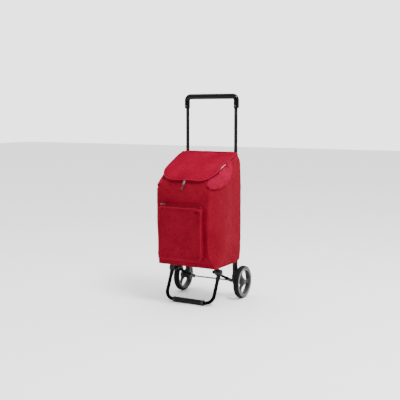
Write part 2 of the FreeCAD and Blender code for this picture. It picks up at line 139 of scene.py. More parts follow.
def tube(bm, points, radius, sides=8, closed=False):
    """Round tube along points, with capped ends unless closed; radius may be a function."""
    points = [Vector(p) for p in points]
    count = len(points)
    rings = []
    reference = None
    for i, point in enumerate(points):
        before = points[i - 1] if (i or closed) else points[0]
        after = points[(i + 1) % count] if (i < count - 1 or closed) else points[-1]
        run = (after - before).normalized()
        if reference is None:
            reference = run.orthogonal()
        reference = (reference - run * reference.dot(run)).normalized()
        other = run.cross(reference)
        size = radius(i / (count - 1)) if callable(radius) else radius
        ring = []
        for angle in round_angles(sides):
            offset = reference * math.cos(angle) + other * math.sin(angle)
            ring.append(bm.verts.new(point + offset * size))
        rings.append(ring)
    pairs = list(zip(rings, rings[1:]))
    if closed:
        pairs.append((rings[-1], rings[0]))
    for a, b in pairs:
        for k in range(sides):
            m = (k + 1) % sides
            bm.faces.new((a[k], a[m], b[m], b[k]))
    if not closed:
        bm.faces.new(rings[0])
        bm.faces.new(rings[-1])


def circle_x(x, centre, radius, count):
    """Points round the line along X through centre."""
    return [
        Vector((x, centre[1] + radius * math.cos(a), centre[2] + radius * math.sin(a)))
        for a in round_angles(count)
    ]


def lathe_x(bm, profile, centre, segments):
    """Turn a closed outline of (x, radius) points about the line along X through centre."""
    rings = [circle_x(x, centre, radius, segments) for x, radius in profile]
    grid(bm, rings + rings[:1], close_rows=True)
    bmesh.ops.remove_doubles(bm, verts=bm.verts, dist=1e-6)


def soft_box(bm, low, high, round_by):
    """Box with rounded edges."""
    made = bmesh.ops.create_cube(bm, size=1.0)
    size = Vector(high) - Vector(low)
    middle = (Vector(high) + Vector(low)) / 2
    bmesh.ops.scale(bm, vec=size, verts=made["verts"])
    bmesh.ops.translate(bm, vec=middle, verts=made["verts"])
    edges = list({e for v in made["verts"] for e in v.link_edges})
    bmesh.ops.bevel(bm, geom=edges, offset=round_by, segments=3, affect="EDGES", profile=0.5)


def dress(obj, finish):
    """Give a piece its material."""
    obj.data.materials.clear()
    obj.data.materials.append(MATERIAL[finish])


def piece(name, bm, body, finish, slot, *replaced, angle=40, squash=True, **solid):
    """Make a bmesh one piece on its body, in place of the CAD nodes it replaces."""
    obj = finish_mesh(name, bm, angle)
    if solid:
        thicken(obj, **solid)
    dress(obj, finish)
    if replaced:
        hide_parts(*replaced)
    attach(obj, body)
    if squash:
        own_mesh(obj)
    return obj


# ---- materials
class Shader:
    """A node material being built around one Principled shader."""

    def __init__(self, name):
        self.material = bpy.data.materials.new(name)
        self.material.use_nodes = True
        self.nodes = self.material.node_tree.nodes
        self.links = self.material.node_tree.links
        self.surface = self.nodes["Principled BSDF"]
        self.place = self.nodes.new("ShaderNodeTexCoord").outputs["Object"]

    def set(self, **sockets):
        for key, value in sockets.items():
            self.surface.inputs[key.replace("_", " ")].default_value = value

    def mapped(self, scale):
        node = self.nodes.new("ShaderNodeMapping")
        node.inputs["Scale"].default_value = scale
        self.links.new(self.place, node.inputs["Vector"])
        return node.outputs["Vector"]

    def noise(self, scale, detail=3.0, roughness=0.55, vector=None, distortion=0.0):
        node = self.nodes.new("ShaderNodeTexNoise")
        node.inputs["Scale"].default_value = scale
        node.inputs["Detail"].default_value = detail
        node.inputs["Roughness"].default_value = roughness
        node.inputs["Distortion"].default_value = distortion
        self.links.new(vector or self.place, node.inputs["Vector"])
        return node.outputs["Fac"]

    def wave(self, scale, direction):
        node = self.nodes.new("ShaderNodeTexWave")
        node.bands_direction = direction
        node.inputs["Scale"].default_value = scale
        node.inputs["Distortion"].default_value = 0.35
        node.inputs["Detail Scale"].default_value = 2.0
        self.links.new(self.place, node.inputs["Vector"])
        return node.outputs["Fac"]

    def maths(self, operation, a, b):
        node = self.nodes.new("ShaderNodeMath")
        node.operation = operation
        for socket, value in zip(node.inputs, (a, b)):
            if isinstance(value, (int, float)):
                socket.default_value = value
            else:
                self.links.new(value, socket)
        return node.outputs["Value"]

    def ramp(self, factor, low, high, dark=0.0, pale=1.0):
        """Grey ramp: dark up to low, pale from high on."""
        node = self.nodes.new("ShaderNodeValToRGB")
        for element, position, grey in zip(node.color_ramp.elements, (low, high), (dark, pale)):
            element.position = position
            element.color = (grey, grey, grey, 1)
        self.links.new(factor, node.inputs["Fac"])
        return node.outputs["Color"]

    def mix(self, factor, a, b, kind="MIX"):
        node = self.nodes.new("ShaderNodeMix")
        node.data_type = "RGBA"
        node.blend_type = kind
        for socket, value in ((node.inputs[0], factor), (node.inputs[6], a), (node.inputs[7], b)):
            if isinstance(value, (int, float)):
                socket.default_value = value
            elif isinstance(value, tuple):
                socket.default_value = (*value, 1)
            else:
                self.links.new(value, socket)
        return node.outputs[2]

    def worn_edges(self, low, high, amount):
        """How far an edge is rubbed, from its pointiness."""
        geometry = self.nodes.new("ShaderNodeNewGeometry")
        rubbed = self.ramp(geometry.outputs["Pointiness"], low, high)
        return self.maths("MULTIPLY", rubbed, amount)

    def colour(self, output):
        self.links.new(output, self.surface.inputs["Base Color"])

    def roughness(self, factor, low, high):
        node = self.nodes.new("ShaderNodeMapRange")
        node.inputs["To Min"].default_value = low
        node.inputs["To Max"].default_value = high
        self.links.new(factor, node.inputs["Value"])
        self.links.new(node.outputs["Result"], self.surface.inputs["Roughness"])

    def bump(self, *layers):
        """Stack (height, strength, distance) layers."""
        normal = None
        for height, strength, distance in layers:
            node = self.nodes.new("ShaderNodeBump")
            node.inputs["Strength"].default_value = strength
            node.inputs["Distance"].default_value = distance
            self.links.new(height, node.inputs["Height"])
            if normal:
                self.links.new(normal, node.inputs["Normal"])
            normal = node.outputs["Normal"]
        self.links.new(normal, self.surface.inputs["Normal"])


def woven(name, deep, light, pitch=0.0011, sheen=0.06, rough=(0.6, 0.8), fade=0.35, shine=0.02):
    """Coated woven cloth: crossing threads, slubs, soft fading and rubbed folds."""
    s = Shader(name)
    # at this scale one band of the wave texture is about one pitch wide
    scale = 0.05 / pitch * 6.3
    warp, weft, across = (s.wave(scale, way) for way in "XZY")
    threads = s.maths("ADD", s.maths("MULTIPLY", warp, weft), s.maths("MULTIPLY", across, weft))
    slub = s.noise(240.0, 2.0, 0.6, s.mapped((1, 1, 0.18)))
    patches = s.noise(9.0, 4.0, 0.6)
    grain = s.noise(70.0, 3.0, 0.6)
    base = s.mix(s.ramp(patches, 0.32, 0.72), deep, light)
    base = s.mix(s.maths("MULTIPLY", slub, 0.25), base, light)
    base = s.mix(0.8, base, s.ramp(threads, 0.0, 0.9, 0.72), "MULTIPLY")
    speckle = s.ramp(s.noise(230.0, 3.0, 0.75), 0.3, 0.7, 0.68, 1.22)
    base = s.mix(1.0, base, speckle, "MULTIPLY")
    rubbed = s.worn_edges(0.52, 0.62, fade)
    worn = tuple(min(1.0, c * 1.35 + 0.004) for c in light)
    s.colour(s.mix(rubbed, base, worn))
    s.roughness(grain, *rough)
    s.bump((threads, 0.35, 0.0004), (slub, 0.25, 0.0003), (grain, 0.18, 0.0015))
    s.set(Sheen_Weight=sheen, Sheen_Roughness=0.45, Sheen_Tint=(*worn, 1), Specular_IOR_Level=shine)
    return s.material


def painted(name, colour, rough, wear):
    """Powder-coated steel: fine orange peel, smudges and rubbed edges."""
    s = Shader(name)
    peel = s.noise(900.0, 2.0, 0.5)
    smudge = s.noise(22.0, 4.0, 0.6, distortion=0.4)
    scratch = s.noise(60.0, 5.0, 0.7, s.mapped((1, 1, 9)))
    scuffs = s.ramp(scratch, 0.66, 0.78)
    edges = s.worn_edges(0.55, 0.66, 0.5)
    base = s.mix(s.maths("MULTIPLY", scuffs, 0.18), colour, wear)
    s.colour(s.mix(edges, base, wear))
    s.roughness(smudge, *rough)
    s.bump((peel, 0.04, 0.0001), (smudge, 0.03, 0.001))
    s.set(Specular_IOR_Level=0.0, Coat_Weight=0.035, Coat_Roughness=0.1)
    return s.material


def moulded(name, colour, rough, texture, wear, shine=0.2):
    """Moulded plastic with a fine spark-eroded texture and scuffed edges."""
    s = Shader(name)
    grain = s.noise(1500.0, 2.0, 0.6)
    cloud = s.noise(35.0, 4.0, 0.6)
    flow = s.noise(14.0, 2.0, 0.5)
    dust = s.ramp(cloud, 0.5, 0.85)
    base = s.mix(s.maths("MULTIPLY", dust, 0.25), colour, wear)
    s.colour(s.mix(s.worn_edges(0.54, 0.64, 0.6), base, wear))
    s.roughness(flow, *rough)
    s.bump((grain, texture, 0.0002), (cloud, 0.08, 0.0008))
    s.set(Specular_IOR_Level=shine * 0.3, Coat_Weight=shine * 0.4, Coat_Roughness=rough[0])
    return s.material


def rubber(name):
    """Matt rubber with a fine grain and dust."""
    s = Shader(name)
    grain = s.noise(700.0, 3.0, 0.6)
    dust = s.noise(28.0, 5.0, 0.65)
    base = s.mix(s.ramp(dust, 0.45, 0.8), (0.005, 0.005, 0.0053), (0.014, 0.0135, 0.013))
    s.colour(s.mix(s.worn_edges(0.53, 0.62, 0.5), base, (0.06, 0.059, 0.057)))
    s.roughness(dust, 0.5, 0.72)
    s.set(Specular_IOR_Level=0.06)
    s.bump((grain, 0.25, 0.0003), (dust, 0.12, 0.001))
    return s.material


def metal(name, colour, rough=(0.2, 0.38), brushed=(1, 60, 60)):
    """Plated or brushed steel, with fine lines along one direction."""
    s = Shader(name)
    lines = s.noise(30.0, 4.0, 0.7, s.mapped(brushed))
    stain = s.noise(40.0, 4.0, 0.6)
    dark = tuple(c * 0.62 for c in colour)
    s.colour(s.mix(s.ramp(stain, 0.35, 0.8), colour, dark))
    s.roughness(lines, *rough)
    s.bump((lines, 0.12, 0.0002))
    s.set(Metallic=1.0)
    return s.material


RED_DEEP = (0.160, 0.0038, 0.0120)
RED_LIGHT = (0.234, 0.0062, 0.0190)
MATERIAL = {
    "bag": woven("bag_weave", RED_DEEP, RED_LIGHT),
    # flap: a lighter copy of the bag's red, painted light where the flap's top faces the lamps
    "flap": woven("flap_weave_lit", (0.178, 0.0030, 0.0140), (0.262, 0.0050, 0.0235), shine=0.0),
    "piping": woven(
        "piping_weave", (0.185, 0.0035, 0.016), (0.275, 0.007, 0.028), 0.0008, 0.08, (0.4, 0.55), 0.3,
    ),
    # ear: a lighter copy of the bag's red, painted light on the upward-leaning folds at the top of the side
    # panels
    "ear": woven("ear_weave_lit", (0.205, 0.0055, 0.0215), (0.305, 0.0095, 0.0360), shine=0.0),
    "thread": woven(
        "thread_fibre", (0.19, 0.005, 0.015), (0.28, 0.009, 0.026), 0.0006, 0.2, (0.5, 0.6), 0.3,
    ),
    # pale coated underside of the flap, which also paints the white highlight on its lifted right edge
    "lining_and_glint": woven(
        "lining_coat_and_glint", (0.62, 0.55, 0.57), (0.86, 0.80, 0.83), 0.0010, 0.2, (0.28, 0.42), 0.2,
    ),
    "zip_tape": woven(
        "zip_tape_weave", (0.115, 0.0030, 0.0080), (0.170, 0.0050, 0.0120), 0.0008, 0.05, (0.6, 0.8),
        0.2,
    ),
    "webbing": woven(
        "webbing_weave", (0.012, 0.012, 0.013), (0.035, 0.034, 0.034), 0.0016, 0.3, (0.6, 0.8), 0.2,
    ),
    "strap": woven(
        "strap_weave", (0.13, 0.124, 0.116), (0.26, 0.25, 0.235), 0.0012, 0.1, (0.45, 0.6), 0.3,
    ),
    "frame": painted("frame_black_paint", (0.002, 0.002, 0.0023), (0.10, 0.2), (0.03, 0.03, 0.031)),
    "screw": painted("screw_black_oxide", (0.02, 0.02, 0.021), (0.3, 0.45), (0.2, 0.2, 0.2)),
    "grip": moulded(
        "grip_gloss_plastic", (0.002, 0.002, 0.0023), (0.08, 0.16), 0.03, (0.01, 0.01, 0.01), 0.3,
    ),
    "bracket": moulded(
        "bracket_satin_plastic", (0.005, 0.005, 0.0055), (0.32, 0.46), 0.16, (0.04, 0.04, 0.04),
    ),
    "hub": moulded("hub_grey_plastic", (0.026, 0.026, 0.0278), (0.28, 0.42), 0.12, (0.14, 0.14, 0.145)),
    # ring: light grey, a painted highlight along the wheels' moulded ridges
    "ring": moulded("ring_painted_highlight_grey", (0.30, 0.30, 0.308), (0.18, 0.3), 0.05, (0.4, 0.4, 0.41)),
    "cap": moulded("cap_grey_plastic", (0.04, 0.04, 0.043), (0.28, 0.4), 0.10, (0.22, 0.22, 0.23)),
    "board": moulded("board_pressed_fibre", (0.02, 0.019, 0.018), (0.55, 0.75), 0.3, (0.07, 0.065, 0.06)),
    "coil": woven(
        "zip_coil_nylon", (0.05, 0.0004, 0.002), (0.09, 0.0008, 0.004), 0.0006, 0.05, (0.4, 0.5), 0.2,
    ),
    "tyre": rubber("tyre_rubber_dusty"),
    "steel": metal("axle_zinc_steel", (0.30, 0.305, 0.31)),
    "nickel": metal("hook_nickel", (0.22, 0.217, 0.21), (0.16, 0.28), (40, 40, 2)),
    "zamak": metal("hook_zamak", (0.075, 0.074, 0.072), (0.2, 0.32), (40, 40, 2)),
    "gunmetal": metal("zip_gunmetal", (0.07, 0.07, 0.072), (0.22, 0.36), (40, 40, 2)),
}


# ---- curves of the bag
def through(points, value):
    """Smooth curve through (place, value) points, flat beyond its ends."""
    if value <= points[0][0]:
        return points[0][1]
    if value >= points[-1][0]:
        return points[-1][1]
    index = max(i for i, p in enumerate(points[:-1]) if p[0] <= value)

    def slope(i):
        a = points[max(i - 1, 0)]
        b = points[min(i + 1, len(points) - 1)]
        return (b[1] - a[1]) / (b[0] - a[0])

    (x0, y0), (x1, y1) = points[index], points[index + 1]
    run = x1 - x0
    t = (value - x0) / run
    m0 = slope(index) * run
    m1 = slope(index + 1) * run
    return (
        (2 * t**3 - 3 * t**2 + 1) * y0 + (t**3 - 2 * t**2 + t) * m0
        + (3 * t**2 - 2 * t**3) * y1 + (t**3 - t**2) * m1
    )


# height: half width, front face and half width of the front panel, up to its side seams
HALF_AT = [
    (0.176, 0.1535), (0.215, 0.1585), (0.33, 0.1595), (0.56, 0.1590), (0.62, 0.1565), (0.65, 0.151),
    (0.68, 0.140),
]
FRONT_AT = [
    (0.176, -0.137), (0.215, -0.146), (0.33, -0.154), (0.47, -0.155), (0.515, -0.150), (0.55, -0.139),
    (0.60, -0.125),
]
SEAM_AT = [
    (0.176, 0.1505), (0.200, 0.141), (0.228, 0.1245), (0.30, 0.1215), (0.40, 0.1225), (0.48, 0.1245),
    (0.56, 0.1265),
]
# depth: height of the crease where the top of each side panel folds in towards the mouth
CREASE_AT = [
    (-0.156, 0.541), (-0.13, 0.531), (-0.10, 0.533), (-0.04, 0.551), (0.0, 0.590), (0.035, 0.640),
    (0.086, 0.664),
]
# depth: underside of the flap from front to back
FLAP_UNDER = [
    (FLAP_LOW[1], FLAP_LOW[2]), (-0.085, 0.5973), (0.0095, 0.6450), (FLAP_HIGH[1], FLAP_HIGH[2] - 0.003),
]
# the flap's outline: straight sides, a straight front edge and two elliptical corners
FLAP_HALF = 0.1438
FLAP_BACK_HALF = 0.1420
FLAP_ROUND = (0.078, 0.083)
SIDE_TURN = math.tan(math.radians(40))
LEFT_SLACK = 0.010
LEFT_SPREAD = 0.0045
LEFT_SEAM_MOST = 0.1365
LEFT_LEAN = 0.007
BACK_CORNER = 0.012
CLOTH = 0.0022
# the mouth lies this far inside the flap's sides and behind its front edge
MOUTH_INSIDE = 0.006
MOUTH_BEHIND = 0.008
# how far below the rim the middle of the front starts to lean in
FRONT_LEAN = 0.012


def flap_under(y):
    fall = (FLAP_UNDER[-1][1] - FLAP_UNDER[0][1]) / (FLAP_UNDER[-1][0] - FLAP_UNDER[0][0])
    inside = min(max(y, FLAP_UNDER[0][0]), FLAP_UNDER[-1][0])
    return through(FLAP_UNDER, inside) + (y - inside) * fall


def perimeter():
    """(stretch of the outline, place along it) for each column of the bag, once round."""
    columns = []
    for part, count in (
        ("front", 60), ("front_right", 18), ("right", 46), ("back_right", 6),
        ("back", 40), ("back_left", 6), ("left", 46), ("front_left", 18),
    ):
        columns += [(part, i / count) for i in range(count)]
    return columns


def flap_half(y):
    """Half width of the flap at depth y."""
    into = min(max((FLAP_LOW[1] + FLAP_ROUND[1] - y) / FLAP_ROUND[1], 0.0), 1.0)
    half = FLAP_HALF - FLAP_ROUND[0] * (1 - math.sqrt(1 - into * into))
    return half - (FLAP_HALF - FLAP_BACK_HALF) * smooth(0.03, FLAP_HIGH[1], y)


def flap_front(x):
    """Depth of the flap's front edge at x."""
    over = min(max((x - FLAP_HALF + FLAP_ROUND[0]) / FLAP_ROUND[0], 0.0), 1.0)
    return FLAP_LOW[1] + FLAP_ROUND[1] * (1 - math.sqrt(1 - over * over))


def outline_point(column, z):
    """Point and outward direction of one column at height z, before the mouth draws it in."""
    part, t = column
    half = through(HALF_AT, z)
    if part.endswith("left"):
        half -= LEFT_LEAN * smooth(0.45, 0.545, z)
    front = through(FRONT_AT, z)
    right_seam = through(SEAM_AT, z)
    left_seam = min(right_seam + LEFT_SLACK, half - 0.003, LEFT_SEAM_MOST)
    back = BAG_BACK - 0.0005
    if part == "front":
        return Vector((-left_seam + (left_seam + right_seam) * t, front, z)), Vector((0, -1, 0))
    seam = right_seam if part.endswith("right") else left_seam
    turned = front + 2.3 * (half - seam)
    if part == "back":
        return Vector((half - BACK_CORNER - t * 2 * (half - BACK_CORNER), back, z)), Vector((0, 1, 0))
    if part == "right":
        return Vector((half, turned + t * (back - BACK_CORNER - turned), z)), Vector((1, 0, 0))
    if part == "left":
        return Vector((-half, back - BACK_CORNER - t * (back - BACK_CORNER - turned), z)), Vector((-1, 0, 0))
    side = 1 if part.endswith("right") else -1
    if part.startswith("front"):
        u = t if side > 0 else 1 - t
        elbow = (half, front + SIDE_TURN * (half - seam))
        x = (1 - u) ** 2 * seam + 2 * u * (1 - u) * elbow[0] + u * u * half
        y = (1 - u) ** 2 * front + 2 * u * (1 - u) * elbow[1] + u * u * turned
        run_x = (1 - u) * (elbow[0] - seam)
        run_y = (1 - u) * (elbow[1] - front) + u * (turned - elbow[1])
        along = Vector((run_x, run_y, 0)).normalized()
        return Vector((side * x, y, z)), Vector((side * along.y, -along.x, 0))
    angle = math.radians((0 if side > 0 else 90) + 90 * t)
    out = Vector((math.cos(angle), math.sin(angle), 0))
    return Vector((side * (half - BACK_CORNER), back - BACK_CORNER, z)) + out * BACK_CORNER, out


def mouth_point(column, point):
    """Where the bag's mouth has this column: just inside the flap's outline."""
    part = column[0]
    side = 1 if point.x > 0 else -1
    if part == "front":
        return Vector((point.x, max(flap_front(abs(point.x) + MOUTH_INSIDE) + MOUTH_BEHIND, point.y), 0))
    if part.startswith("front"):
        u = column[1] if side > 0 else 1 - column[1]
        corner = abs(outline_point(("front", 0.0), point.z)[0].x)
        start = flap_front(corner + MOUTH_INSIDE) + MOUTH_BEHIND
        y = start + u * (point.y - start)
        return Vector((side * (flap_half(y) - MOUTH_INSIDE), y, 0))
    if part == "back":
        return Vector((point.x, point.y, 0))
    return Vector((side * min(abs(point.x), flap_half(point.y) - MOUTH_INSIDE), point.y, 0))


def rim_height(column):
    z = 0.6
    for _ in range(6):
        point = outline_point(column, z)[0]
        z = min(flap_under(mouth_point(column, point).y) - 0.0035, BAG_HIGH[2] - 0.004)
    return z


def crease_height(column, point, rim):
    """Height below which the cloth hangs straight and above which it leans in."""
    if column[0] == "front":
        at_side = CREASE_AT[0][1]
        level = rim - FRONT_LEAN + (at_side - rim + FRONT_LEAN) * smooth(0.085, 0.122, abs(point.x))
    else:
        level = through(CREASE_AT, point.y)
    return min(level, rim - 0.010)


def corner_puckers(y, z):
    """Short folds that fan out from the bag's top back corners."""
    dy, dz = BAG_BACK - y, 0.680 - z
    reach = math.hypot(dy, dz)
    angle = math.atan2(dz, max(dy, 1e-4))
    return 0.0026 * math.sin(angle * 17 + reach * 30) * bump(0.045, 0.045, reach)


def drape(point, out, crease):
    """How far the cloth stands off its outline: fullness, folds and small wrinkles."""
    x, y, z = point
    up = (z - BAG_FLOOR) / (crease - BAG_FLOOR)
    sideways = abs(out.x)
    forwards = max(0.0, -out.y)
    backwards = max(0.0, out.y)
    fullness = math.sin(math.pi * min(1.0, max(0.0, up))) ** 0.6
    push = 0.0025 * fullness * (sideways * bump(-0.03, 0.12, y) + forwards * bump(0, 0.15, x))
    push += 0.0050 * math.sqrt(fullness) * sideways * bump(0.075, 0.09, y)
    push += sideways * corner_puckers(y, z)
    front_part = smooth(0.04, -0.01, y)
    push -= front_part * 0.0020 * bump(crease - 0.006, 0.014, z) * sideways
    tall = turbulence((x, y, z * 0.55), 0.045, 3.0)
    cross = turbulence((x, y, z), 0.022, 9.0)
    fine = turbulence((x, y, z), 0.009, 5.0)
    slack = 0.35 + 0.65 * smooth(0.45, 0.9, up)
    push += (0.0013 * tall + 0.0010 * cross * slack + 0.0003 * fine) * (1 - 0.8 * backwards)
    diagonal = math.sin((x * 0.8 + z) * 170 + 3 * tall)
    push += forwards * 0.0010 * diagonal * bump(0.52, 0.05, z) * smooth(0.0, 0.09, abs(x))
    pull = math.sin((z + 0.5 * y) * 120 + 4 * cross)
    push += sideways * 0.0009 * pull * bump(0.24, 0.09, z)
    gather = math.sin((y + 0.9 * z) * 260 + 2 * cross)
    push += 0.0011 * gather * bump(-0.125, 0.04, y) * bump(crease, 0.05, z)
    push -= 0.0016 * bump(0.196, 0.008, z) * forwards
    hem = 1 - smooth(0.0, 0.012, z - BAG_FLOOR)
    return push * (1 - 0.7 * hem) + 0.0008 * hem


def hem_height(column):
    """The hem runs level, and rises at the back corners."""
    return BAG_FLOOR + 0.014 * smooth(0.050, 0.086, outline_point(column, BAG_FLOOR)[0].y)


def bag_surface(column, fraction):
    """Point and outward direction on the bag, at a fraction of the height from hem to rim."""
    rim = rim_height(column)
    foot = hem_height(column)
    z = foot + fraction * (rim - foot)
    point, out = outline_point(column, z)
    crease = crease_height(column, point, rim)
    lean = min(max((z - crease) / (rim - crease), 0.0), 1.0)
    mouth = mouth_point(column, point)
    mouth.z = z
    moved = point.lerp(mouth, lean**1.25) + out * drape(point, out, crease)
    moved.y = min(moved.y, BAG_BACK)
    return moved, out


BAG_COLUMNS = perimeter()
BAG_ROWS = 150


def make_bag_body():
    """The bag's walls, from the hem to the mouth."""
    bm = bmesh.new()
    rows = []
    for r in range(BAG_ROWS + 1):
        rows.append([bag_surface(column, r / BAG_ROWS)[0] for column in BAG_COLUMNS])
    grid(bm, rows, close_rows=True)
    piece(
        "bag_shell", bm, "frame", "bag", "bag_fabric", "bag_body",
        angle=60, thickness=CLOTH, offset=-1, use_even_offset=False,
    )


def make_bag_floor():
    """Bag bottom: a slack sheet over the board, sewn to the walls above the hem."""
    bm = bmesh.new()
    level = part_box("base_board")[1][2] + 0.0015
    rows = []
    steps = 14
    for r in range(steps + 1):
        shrink = 1 - r / steps
        row = []
        for column in BAG_COLUMNS[::2]:
            edge, out = outline_point(column, level)
            edge = edge - out * CLOTH
            x, y = edge.x * shrink, (edge.y + 0.02) * shrink - 0.02
            sag = 0.0012 * turbulence((x, y, 0), 0.05, 2.0)
            row.append((x, y, level + abs(sag) * smooth(0, 0.2, r / steps)))
        rows.append(row)
    grid(bm, rows, close_rows=True)
    bmesh.ops.remove_doubles(bm, verts=bm.verts, dist=1e-5)
    piece("bag_bottom_panel", bm, "frame", "bag", "bag_fabric", angle=60, thickness=0.001, offset=1)


def stitches(name, runs, body, finish, slot, pitch=0.0038, length=0.0026, radius=0.00042):
    """Thread dashes along runs of (point, outward) pairs."""
    bm = bmesh.new()
    for run in runs:
        travelled = 0.0
        due = pitch / 2
        for (a, out), (b, _) in zip(run, run[1:]):
            step = (b - a).length
            while step > 1e-9 and travelled + step >= due:
                centre = a + (b - a) * ((due - travelled) / step) + out * radius * 0.5
                along = (b - a).normalized() * (length / 2)
                side = along.cross(out).normalized() * radius
                lift = out.normalized() * radius
                ends = [bm.verts.new(centre - along), bm.verts.new(centre + along)]
                belt = [bm.verts.new(centre + shift) for shift in (side, lift, -side, -lift)]
                for k in range(4):
                    m = (k + 1) % 4
                    bm.faces.new((ends[0], belt[k], belt[m]))
                    bm.faces.new((ends[1], belt[m], belt[k]))
                due += pitch
            travelled += step
    piece(name, bm, body, finish, slot, angle=80)


def make_bag_trim():
    """Bound hem, corner piping at the back, and the seams' stitching."""
    order = [c for c in BAG_COLUMNS if c[0].endswith("left") and c[0] != "back_left"]
    order += [c for c in BAG_COLUMNS if c[0] in ("front", "front_right", "right")]
    bm = bmesh.new()
    tube(bm, [bag_surface(c, 0.004)[0] for c in order], 0.0016, 8)
    piece("bag_hem_binding", bm, "frame", "piping", "bag_fabric")
    bm = bmesh.new()
    for wanted in ("back_right", "back_left"):
        column = [c for c in BAG_COLUMNS if c[0] == wanted][3]
        tube(bm, [bag_surface(column, k / 90)[0] for k in range(91)], 0.0015, 8)
    piece("bag_back_piping", bm, "frame", "piping", "bag_fabric")
    runs = [[bag_surface(c, fraction) for c in order] for fraction in (0.022, 0.030)]
    for wanted, index in (("right", 43), ("left", 3)):
        column = [c for c in BAG_COLUMNS if c[0] == wanted][index]
        runs.append([bag_surface(column, k / 160) for k in range(3, 158)])
    stitches("bag_seam_stitching", runs, "frame", "thread", "bag_fabric")


def ear_column(side, s):
    """Column of the bag under one place along the ear, from the front corner to the back."""
    if s < 0.16:
        t = 0.945 + 0.055 * s / 0.16
        return ("front", t if side > 0 else 1 - t)
    if s < 0.42:
        part, t = "front_", (s - 0.16) / 0.26
    else:
        part, t = "", 0.58 * (s - 0.42) / 0.58
    return (part + "right", t) if side > 0 else (part + "left", 1 - t)


def make_ear(name, side):
    """Slack top of a side panel, folded out over the panel below in a rounded, bound ear."""
    swell = 1.0 if side > 0 else 0.35
    rows = []
    for i in range(73):
        s = i / 72
        column = ear_column(side, s)
        rim = rim_height(column)
        foot = hem_height(column)
        point = outline_point(column, rim - 0.045)[0]
        power = 6.5 - 4.3 * smooth(0.1, 0.75, s)
        rounded = (1 - abs(2 * s - 1) ** power) ** (1 / power)
        low = rim - (rim - crease_height(column, point, rim) + 0.004) * max(rounded, 0.02)
        row = []
        for k in range(19):
            v = k / 18
            z = rim - 0.001 + (low - rim) * v
            base, out = bag_surface(column, (z - foot) / (rim - foot))
            lift = 0.0010 + 0.0062 * rounded * math.sin(math.pi * 0.84 * v**1.5) ** 0.8
            ripple = 0.0014 * turbulence((base.x, base.y, base.z), 0.016, 2.0) * math.sin(math.pi * v)
            pucker = 0.0012 * bump(0.12, 0.22, s) * math.sin(s * 90 + v * 2.4) * v
            row.append(base + (out + Vector((0, 0, 0.2))) * ((lift + ripple + pucker) * swell))
        rows.append(row)
    bm = bmesh.new()
    grid(bm, rows)
    # the ear and its piping take the lighter red: painted light on this fold
    piece(name, bm, "frame", "ear", "bag_fabric", angle=60, thickness=0.0011, offset=0)
    bm = bmesh.new()
    tube(bm, [row[-1] for row in rows], 0.0009, 8)
    piece(name + "_piping", bm, "frame", "ear", "bag_fabric")


# ---- flap
def flap_surface(x, y, edge):
    """Top of the flap; edge is the distance to its cut edge."""
    z = flap_under(y) + 0.0030
    roll = 0.0020 * (1 - smooth(0.0, 0.020, edge))
    back_fall = 0.0012 * smooth(0.10, 0.15, abs(x)) * smooth(0.0, 0.08, y)
    lift = 0.007 * bump(0.0, 0.035, abs(x - FLAP_HALF)) * bump(-0.070, 0.055, y) * smooth(0, 0.1, x)
    wave = 0.0011 * turbulence((x, y, 0.3), 0.05, 7.0) + 0.00035 * turbulence((x, y, 0.1), 0.014, 1.0)
    hang = 0.0016 * math.sin(x * 46 + 0.6) * smooth(-0.09, -0.14, y)
    return Vector((x, y, z - roll - back_fall + lift + wave + hang))


def flap_point(s, t):
    """s from -1 left to 1 right, t from 0 back to 1 front."""
    turn = math.sin(t * math.pi / 2) if t > 0 else 0.0
    y = FLAP_HIGH[1] - 0.0005 + (FLAP_LOW[1] + 0.0005 - FLAP_HIGH[1]) * turn
    half = flap_half(y)
    x = s * half - LEFT_SPREAD * smooth(0.0, 1.0, -s) * smooth(0.0, 0.08, y)
    edge = min(half - abs(x), (y - FLAP_LOW[1]) * 0.9 + 0.0005)
    return flap_surface(x, y, max(edge, 0.0))


def flap_edge(count=160):
    """The cut edge from the back left, round the front, to the back right."""
    left = [flap_point(-1, k / count) for k in range(count)]
    front = [flap_point(-1 + 2 * k / 60, 1) for k in range(61)]
    right = [flap_point(1, 1 - k / count) for k in range(1, count + 1)]
    return left + front + right


def make_flap():
    bm = bmesh.new()
    rows = []
    for r in range(91):
        rows.append([flap_point(-math.cos(math.pi * c / 110), r / 90) for c in range(111)])
    grid(bm, rows)
    flap = piece(
        "flap_panel", bm, "flap", "flap", "bag_fabric", "bag_flap",
        angle=60, thickness=0.0024, offset=-1,
    )
    edge = flap_edge()
    bm = bmesh.new()
    tube(bm, [p - Vector((0, 0, 0.0014)) for p in edge], 0.0020, 10)
    piece("flap_piping", bm, "flap", "piping", "bag_fabric")
    run = []
    middle_y = -0.03
    for p in edge:
        inward = Vector((-p.x, middle_y - p.y, 0)).normalized() * 0.0065
        q = p + inward
        half = flap_half(q.y)
        margin = max(0.0, min(half - abs(q.x), q.y - FLAP_LOW[1]))
        run.append((flap_surface(q.x, q.y, margin) + Vector((0, 0, 0.0001)), Vector((0, -0.4, 0.9))))
    stitches("flap_edge_stitching", [run], "flap", "thread", "bag_fabric")


